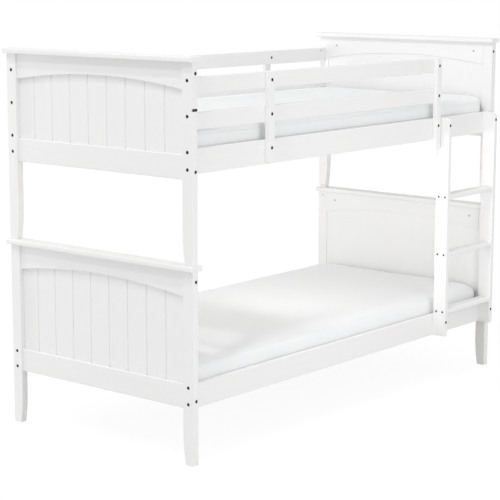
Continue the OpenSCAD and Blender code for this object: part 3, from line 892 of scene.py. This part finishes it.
def fitting_group(node, steel, profile, seed, inwards=False, turn=FULL_TURN, **cut):
    """All of one node's fittings as one piece, with a part turned for each length."""
    slot, material = steel
    groups = {}
    for place, facing, length, width in seats_of(node, inwards):
        seats = groups.setdefault(round(length / LENGTH_STEP), [])
        seats.append((place - facing * SEAT_SINK, facing, length, width))
    made = []
    for number, (_, seats) in enumerate(sorted(groups.items())):
        places, facings, lengths, widths = zip(*seats)
        part = lathe(profile(widths[0], lengths[0]), **cut)
        name = f"{node}_{number}"
        made.append(placed_parts(name, places, facings, part, material, seed + number, turn))
    whole = joined(made)
    whole.name = whole.data.name = node + "_set"
    declare(whole, FRAME_BODY, slot, node)


def joined(pieces):
    """Several meshes as one piece that keeps their attributes."""
    chosen = {"selected_editable_objects": pieces, "selected_objects": pieces}
    if len(pieces) > 1:
        with bpy.context.temp_override(active_object=pieces[0], **chosen):
            bpy.ops.object.join()
    return pieces[0]


# Hexagonal sockets as (width, depth), and the slot across a barrel nut.
BOLT_SOCKET = (5.0 * MM, 2.5 * MM)
CAP_NUT_SOCKET = (4.0 * MM, 1.2 * MM)
RUNG_SCREW_SOCKET = (3.5 * MM, 2.0 * MM)
STACKING_SCREW_SOCKET = (2.2 * MM, 1.5 * MM)
BARREL_NUT_SLOT = 1.4 * MM
BARREL_NUT_TURN = 0.35


def build_fittings():
    """Bolts, nuts, screws and pins, each turned about its axis by a random angle."""
    bolts = ("end_frame", "side_rail", "guard_board", "guard_post", "ladder")
    for number, place in enumerate(bolts):
        seed = 11 * number + 3
        fitting_group(place + "_bolts", DARK, bolt_profile, seed, socket=BOLT_SOCKET)
    fitting_group("cap_nuts", DARK, nut_profile, 71, True, socket=CAP_NUT_SOCKET)
    fitting_group("rung_screws", DARK, screw_profile, 83, socket=RUNG_SCREW_SOCKET)
    fitting_group(
        "stacking_screws", DARK, short_screw_profile, 97, True, socket=STACKING_SCREW_SOCKET
    )
    fitting_group(
        "barrel_nuts", BRIGHT, nut_profile, 103, True, BARREL_NUT_TURN, slot_width=BARREL_NUT_SLOT
    )
    fitting_group("stacking_pins", BRIGHT, pin_profile, 113)


def slat_part(size):
    """One planed slat, its long edges rounded, centred on the origin."""
    solid = bmesh.new()
    bmesh.ops.create_cube(solid, size=1.0)
    bmesh.ops.scale(solid, vec=size, verts=solid.verts)
    weigh_edges(solid, Y, [r * MM for r in SLAT_RADII], ())
    mesh = mesh_of(solid, "slat_part")
    smooth_faces(mesh)
    piece = new_piece("slat_part", mesh, PINE)
    mesh = rounded(piece, SLAT_RADII[0] * MM, 0.0)
    mesh.attributes.remove(mesh.attributes["board"])
    bpy.data.objects.remove(piece)
    return mesh


SLAT_SEED = 211


def build_slats():
    for number, node in enumerate(("lower_slats", "upper_slats")):
        boxes = [(p.min(0), p.max(0)) for p in islands_of(node)]
        centres = [(low + high) / 2 for low, high in boxes]
        size = boxes[0][1] - boxes[0][0]
        up = [(0.0, 0.0, 1.0)] * len(centres)
        part = slat_part(size)
        piece = placed_parts(node + "_wood", centres, up, part, PINE, SLAT_SEED + number)
        declare(piece, FRAME_BODY, "slat_wood", node)


build_fittings()
build_slats()


# ---- mattresses ----

CELL = 15 * MM
SWELL_FRAMES = 20
SWELL_CAP = 12 * MM

# The block the cover starts from has its sides and its bottom drawn in.
SIDE_INSET = 6 * MM
BOTTOM_INSET = 1 * MM

# A cover's top inset, how far it may rise over the CAD block, and its rounds of smoothing.
FULL_COVER = (1 * MM, 11 * MM, 3)
FLAT_COVER = (7 * MM, 4 * MM, 10)

# The flat mattress has settled along its front edge.
SETTLED_WIDTH = 260 * MM
SETTLED_DEPTH = 10 * MM

# Slow waves and small ripples in the cover: how long and how high.
WAVE_LENGTH = 0.33
WAVE_TOP = 1.6 * MM
WAVE_SIDE = 1.0 * MM
RIPPLE_LENGTH = 0.09
RIPPLE_TOP = 0.5 * MM
RIPPLE_SIDE = 0.6 * MM
WAVE_COUNT = 9

# How far the cover may stand past the CAD block's ends and sides.
PAST_ENDS = 1.0 * MM
PAST_SIDES = 0.8 * MM


def shrunken_block(node, top_inset):
    """A mattress's CAD block drawn in a little on every side, before it swells."""
    low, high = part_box(node)
    centre = (low + high) / 2
    solid = solid_of(node)
    half = (high - low) / 2
    for vertex in solid.verts:
        for axis in (X, Y):
            share = (vertex.co[axis] - centre[axis]) / half[axis]
            vertex.co[axis] = centre[axis] + share * (half[axis] - SIDE_INSET)
        top = vertex.co.z > centre.z
        vertex.co.z = high.z - top_inset if top else low.z + BOTTOM_INSET
    merge_flat_faces(solid)
    return mesh_of(solid, node + "_block")


CLOTH_SETTINGS = {
    "quality": 4,
    "mass": 0.3,
    "tension_stiffness": 14,
    "compression_stiffness": 14,
    "shear_stiffness": 6,
    "bending_stiffness": 0.6,
    "use_pressure": True,
    "uniform_pressure_force": 4,
}


def swell(piece):
    """Cloth under pressure: the cover swells by no more than SWELL_CAP."""
    start = points_of(piece.data)
    cloth = piece.modifiers.new("Swell", "CLOTH")
    for key, value in CLOTH_SETTINGS.items():
        setattr(cloth.settings, key, value)
    cloth.settings.effector_weights.gravity = 0
    cloth.collision_settings.use_collision = False
    cloth.point_cache.frame_start = 1
    cloth.point_cache.frame_end = SWELL_FRAMES
    for number in range(1, SWELL_FRAMES + 1):
        scene.frame_set(number)
    mesh = finished_mesh(piece)
    scene.frame_set(1)
    moved = points_of(mesh) - start
    length = np.linalg.norm(moved, axis=1, keepdims=True)
    moved *= np.minimum(1.0, SWELL_CAP / np.maximum(length, 1e-9))
    set_points(mesh, start + moved)


def smooth_noise(points, scale, seed):
    """Soft noise between -1 and 1 at each point, from a few crossed waves."""
    rng = np.random.default_rng(seed)
    total = np.zeros(len(points))
    for _ in range(WAVE_COUNT):
        direction = rng.normal(size=3)
        direction /= np.linalg.norm(direction)
        wave = rng.uniform(0.6, 1.7) / scale
        total += np.sin(points @ direction * wave * FULL_TURN + rng.uniform(0, FULL_TURN))
    return total / 4.0


RELAX_SHARE = 0.5


def relax(mesh, rounds):
    """Evens out a mesh's points, each towards the middle of its neighbours."""
    edges = np.empty(len(mesh.edges) * 2, np.int32)
    mesh.edges.foreach_get("vertices", edges)
    edges = edges.reshape(-1, 2)
    points = points_of(mesh)
    count = np.bincount(edges.ravel(), minlength=len(points))[:, None]
    for _ in range(rounds):
        total = np.zeros_like(points)
        np.add.at(total, edges[:, 0], points[edges[:, 1]])
        np.add.at(total, edges[:, 1], points[edges[:, 0]])
        points += RELAX_SHARE * (total / count - points)
    set_points(mesh, points)


def mattress_piece(node, seed):
    """A mattress's cover: its CAD block swollen, fitted to the block's sides and left uneven."""
    low, high = (np.array(c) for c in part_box(node))
    full = node == "upper_mattress"
    top_inset, crown, rounds = FULL_COVER if full else FLAT_COVER
    piece = new_piece(node + "_cover", shrunken_block(node, top_inset), COVER)
    remesh = piece.modifiers.new("Cells", "REMESH")
    remesh.mode = "VOXEL"
    remesh.voxel_size = CELL
    finished_mesh(piece)
    relax(piece.data, rounds)
    swell(piece)
    mesh = piece.data
    points = points_of(mesh)
    centre = (low + high) / 2
    half = (high - low) / 2
    for axis in (X, Y):
        reach = np.percentile(np.abs(points[:, axis] - centre[axis]), 99.5)
        points[:, axis] = centre[axis] + (points[:, axis] - centre[axis]) * half[axis] / reach
    share = np.clip(np.abs(points - centre) / half, 0, 1)
    rim = np.maximum(share[:, X] ** 30, share[:, Y] ** 14)
    height = (points[:, Z] - low[Z]) / (high[Z] - low[Z])
    if not full:
        from_front = (points[:, Y] - low[Y]) / SETTLED_WIDTH
        points[:, Z] -= SETTLED_DEPTH * np.clip(height, 0, 1) * np.clip(1 - from_front, 0, 1) ** 2
    wave = smooth_noise(points * (1, 1, 0.3), WAVE_LENGTH, seed)
    ripple = smooth_noise(points, RIPPLE_LENGTH, seed + 1)
    points[:, Z] += np.clip(height, 0, 1) * (WAVE_TOP * wave * rim + RIPPLE_TOP * ripple)
    side = np.clip(rim * 1.5, 0, 1) * (WAVE_SIDE * wave + RIPPLE_SIDE * ripple)
    outward = (points - centre) * (1, 1, 0)
    outward /= np.maximum(np.linalg.norm(outward, axis=1, keepdims=True), 1e-6)
    points += outward * side[:, None]
    for axis, room in ((X, PAST_ENDS), (Y, PAST_SIDES)):
        points[:, axis] = np.clip(points[:, axis], low[axis] - room, high[axis] + room)
    points[:, Z] = np.clip(points[:, Z], low[Z], high[Z] + crown)
    set_points(mesh, points)
    piece.modifiers.new("Finer", "SUBSURF").levels = 1
    mesh = finished_mesh(piece)
    smooth_faces(mesh)
    mesh.name = piece.name
    declare(piece, node, "mattress_fabric", node)
    return piece


CORNER_RADIUS = 40 * MM
CORNER_STEPS = 6
STITCH_PITCH = 7.5 * MM
TAPE_PITCH = 12 * MM
TAPE_WIDTH = 3.2 * MM
TAPE_RISE = 0.5 * MM
TOP_SEAM_DROP = 24 * MM
BOTTOM_SEAM_RISE = 20 * MM
SEAM_REACH = 0.1
RAY_LENGTH = 0.5


def outline_points(low, high, pitch):
    """Points and outward directions round a rectangle with rounded corners."""
    radius = CORNER_RADIUS
    x0, y0 = low[X] + radius, low[Y] + radius
    x1, y1 = high[X] - radius, high[Y] - radius
    ends = []
    for cx, cy, quarter in ((x1, y0, -1), (x1, y1, 0), (x0, y1, 1), (x0, y0, 2)):
        for i in range(CORNER_STEPS + 1):
            angle = QUARTER_TURN * quarter + QUARTER_TURN * i / CORNER_STEPS
            ends.append((cx + radius * math.cos(angle), cy + radius * math.sin(angle), angle))
    found = []
    for (ax, ay, a), (bx, by, b) in zip(ends, ends[1:] + ends[:1]):
        span = math.hypot(bx - ax, by - ay)
        steps = max(1, round(span / pitch))
        if b < a - 1e-6:
            b += FULL_TURN
        for i in range(steps):
            t = i / steps
            x, y, angle = ax + (bx - ax) * t, ay + (by - ay) * t, a + (b - a) * t
            found.append((x, y, math.cos(angle), math.sin(angle)))
    return found


def seam_path(tree, low, high, z, pitch):
    """Points right round the cover at height z, each with the surface's normal."""
    path = []
    for x, y, nx, ny in outline_points(low, high, pitch):
        origin = Vector((x + nx * SEAM_REACH, y + ny * SEAM_REACH, z))
        hit, normal = cover_point(tree, origin, Vector((-nx, -ny, 0)))
        if hit is not None:
            path.append((hit, normal))
    return path


# Cross-sections, in shares of the tape's half width and rise, and of a stitch in millimetres.
TAPE_SECTION = ((-1.0, -0.3), (-0.8, 0.7), (0.0, 1.0), (0.8, 0.7), (1.0, -0.3))
STITCH_RINGS = (
    (-2.4, -0.55, 0.3),
    (-1.7, 0.1, 0.48),
    (0.0, 0.34, 0.52),
    (1.7, 0.1, 0.48),
    (2.4, -0.55, 0.3),
)
STITCH_SIDES = 5
STITCH_FLATNESS = 0.8


def sewn_mesh(solid, name):
    """A seam's part turned into a smooth mesh with its normals outward."""
    bmesh.ops.recalc_face_normals(solid, faces=solid.faces)
    mesh = mesh_of(solid, name)
    smooth_faces(mesh)
    return mesh


def tape_ring(name, path):
    """A flat sewn tape that follows a closed path on the cover."""
    solid = bmesh.new()
    rings = []
    for i, (point, normal) in enumerate(path):
        ahead = path[(i + 1) % len(path)][0]
        behind = path[i - 1][0]
        along = (ahead - behind).normalized()
        across = normal.cross(along).normalized()
        ring = []
        for side, rise in TAPE_SECTION:
            reach = across * side * TAPE_WIDTH / 2
            ring.append(solid.verts.new(point + reach + normal * rise * TAPE_RISE))
        rings.append(ring)
    for near, far in zip(rings, rings[1:] + rings[:1]):
        join_rings(solid, near, far)
    return new_piece(name, sewn_mesh(solid, name), TAPE)


def stitch_part():
    """One stitch of thick thread, arched along X, its ends sunk in the tape."""
    solid = bmesh.new()
    rings = []
    for x, z, radius in STITCH_RINGS:
        ring = []
        for i in range(STITCH_SIDES):
            angle = FULL_TURN * i / STITCH_SIDES
            y = radius * math.cos(angle)
            rise = radius * math.sin(angle) * STITCH_FLATNESS
            ring.append(solid.verts.new((x * MM, y * MM, (z + rise) * MM)))
        rings.append(ring)
    for near, far in zip(rings, rings[1:]):
        join_rings(solid, near, far)
    solid.faces.new(rings[0][::-1])
    solid.faces.new(rings[-1])
    return sewn_mesh(solid, "stitch_part")


def stitch_row(name, path, seed):
    """Stitches laid one after another along a seam."""
    points = [point + normal * TAPE_RISE for point, normal in path]
    facings = [normal for _, normal in path]
    ahead = points[1:] + points[:1]
    along = [(b - a).normalized() for a, b in zip([points[-1]] + points[:-1], ahead)]
    return placed_parts(name, points, facings, stitch_part(), THREAD, seed, along=along)


def cover_tree(mesh):
    """The cover's surface, ready for rays."""
    points = [v.co for v in mesh.vertices]
    return BVHTree.FromPolygons(points, [tuple(f.vertices) for f in mesh.polygons])


def cover_point(tree, origin, direction):
    """Where a ray meets the cover; a ray that slips through an edge is tried again beside it."""
    nudge = Vector((0.11, 0.07, 0.05)) * MM
    for attempt in range(4):
        hit, normal, _, _ = tree.ray_cast(origin + nudge * attempt, direction, RAY_LENGTH)
        if hit is not None:
            return hit, normal
    return None, None


COVER_SEED = 5
STITCH_SEED = 301


def build_mattresses():
    """Both covers, each with a taped and stitched seam near its top and one near its bottom."""
    for number, node in enumerate(MATTRESSES):
        piece = mattress_piece(node, COVER_SEED + 10 * number)
        tree = cover_tree(piece.data)
        low, high = (np.array(c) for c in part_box(node))
        seams = (("top", high[Z] - TOP_SEAM_DROP), ("bottom", low[Z] + BOTTOM_SEAM_RISE))
        for name, z in seams:
            path = seam_path(tree, low, high, z, TAPE_PITCH)
            ring = tape_ring(f"{node}_{name}_seam", path)
            declare(ring, node, "mattress_fabric")
            path = seam_path(tree, low, high, z, STITCH_PITCH)
            row = stitch_row(f"{node}_{name}_stitches", path, STITCH_SEED + number)
            declare(row, node, "mattress_fabric")


build_mattresses()


# ---- studio ----

# The camera's place, how it is turned in degrees (round the bed, above level, rolled), its lens.
CAMERA_PLACE = (-5.3986, -4.3229, 1.8362)
CAMERA_TURN = (-50.5523, 9.9173, 0.147)
CAMERA_LENS = 117.07
CAMERA_FAR = 400.0

# Each lamp's place, the point it looks at, its size in metres and its power in watts.
BED_MIDDLE = (0.0, 0.0, 0.8)
LAMPS = {
    "left_key": ((-5.092570, -1.269720, 6.837677), BED_MIDDLE, 0.4, 74.0),
    "high_key": ((-2.85, -0.65, 5.8), BED_MIDDLE, 0.26, 50.0),
    "front_fill": ((-0.35, -2.5, 1.0), (0.5, 0.0, 0.8), 1.2, 9.0),
    "rear_fill": ((-1.0, 1.7, 1.0), (1.0, 0.0, 0.6), 1.2, 9.8),
    "lower_fill": ((-0.25, -0.05, 0.95), (1.0, -0.1, 0.9), 0.4, 1.8),
}

ROOM_LIGHT = 0.78
FLOOR_REACH = 120.0
FLOOR_TONE = 0.8
FLOOR_GLOW = 1.07
FLOOR_GLOW_SHARE = 0.85


def build_camera():
    data = bpy.data.cameras.new("studio_camera")
    data.lens = CAMERA_LENS
    data.clip_end = CAMERA_FAR
    azimuth, elevation, roll = (math.radians(a) for a in CAMERA_TURN)
    level = Vector((math.cos(azimuth), math.sin(azimuth), 0))
    forward = Vector((-level.y, level.x, 0))
    back = forward * -math.cos(elevation) + Vector((0, 0, math.sin(elevation)))
    up = back.cross(level)
    right = level * math.cos(roll) + up * math.sin(roll)
    up = back.cross(right)
    camera = bpy.data.objects.new("studio_camera", data)
    scene.collection.objects.link(camera)
    turn = Matrix((right, up, back)).transposed().to_4x4()
    camera.matrix_world = Matrix.Translation(CAMERA_PLACE) @ turn
    scene.camera = camera


def soft_lamp(name, place, aim, size, power):
    """A square soft lamp at one place that looks at another."""
    data = bpy.data.lights.new(name, "AREA")
    data.shape = "SQUARE"
    data.size = size
    data.energy = power
    lamp = bpy.data.objects.new(name, data)
    lamp.visible_camera = False
    scene.collection.objects.link(lamp)
    back = (Vector(place) - Vector(aim)).normalized()
    turn = back.to_track_quat("Z", "Y").to_matrix().to_4x4()
    lamp.matrix_world = Matrix.Translation(Vector(place)) @ turn


def build_lamps():
    """Two keys from the left, one much higher, and weak fills near the beds."""
    for name, lamp in LAMPS.items():
        soft_lamp(name, *lamp)


def join_for_camera(tree, output, cast, seen, share):
    """Sends one shader to the surroundings and shows the camera a share of another."""
    path = add_node(tree, "ShaderNodeLightPath")
    inputs = {0: path.outputs["Is Camera Ray"], 1: share}
    part = add_node(tree, "ShaderNodeMath", {"operation": "MULTIPLY"}, inputs)
    inputs = {0: part.outputs[0], 1: cast.outputs[0], 2: seen.outputs[0]}
    mix = add_node(tree, "ShaderNodeMixShader", {}, inputs)
    add_node(tree, output, {}, {"Surface": mix.outputs[0]})


def build_room():
    """Plain white surroundings that read as pure white behind the bed."""
    world = bpy.data.worlds.new("white_room")
    world.use_nodes = True
    tree = world.node_tree
    tree.nodes.clear()
    white = {"Color": (1, 1, 1, 1)}
    seen = add_node(tree, "ShaderNodeBackground", {}, white | {"Strength": 1.0})
    cast = add_node(tree, "ShaderNodeBackground", {}, white | {"Strength": ROOM_LIGHT})
    join_for_camera(tree, "ShaderNodeOutputWorld", cast, seen, 1.0)
    scene.world = world


def build_floor():
    """A pale floor that shows white and still takes the bed's shadow."""
    far = FLOOR_REACH
    mesh = bpy.data.meshes.new("studio_floor")
    corners = [(-far, -far, 0), (far, -far, 0), (far, far, 0), (-far, far, 0)]
    mesh.from_pydata(corners, [], [(0, 1, 2, 3)])
    material = bpy.data.materials.new("studio_floor")
    material.use_nodes = True
    tree = material.node_tree
    tree.nodes.clear()
    tone = {"Color": (FLOOR_TONE, FLOOR_TONE, FLOOR_TONE, 1)}
    matt = add_node(tree, "ShaderNodeBsdfDiffuse", {}, tone)
    glow = add_node(tree, "ShaderNodeEmission", {}, {"Strength": FLOOR_GLOW})
    join_for_camera(tree, "ShaderNodeOutputMaterial", matt, glow, FLOOR_GLOW_SHARE)
    new_piece("studio_floor", mesh, material)


build_camera()
build_room()
build_floor()
build_lamps()
scene.view_settings.view_transform = "Standard"

bpy.context.view_layer.update()
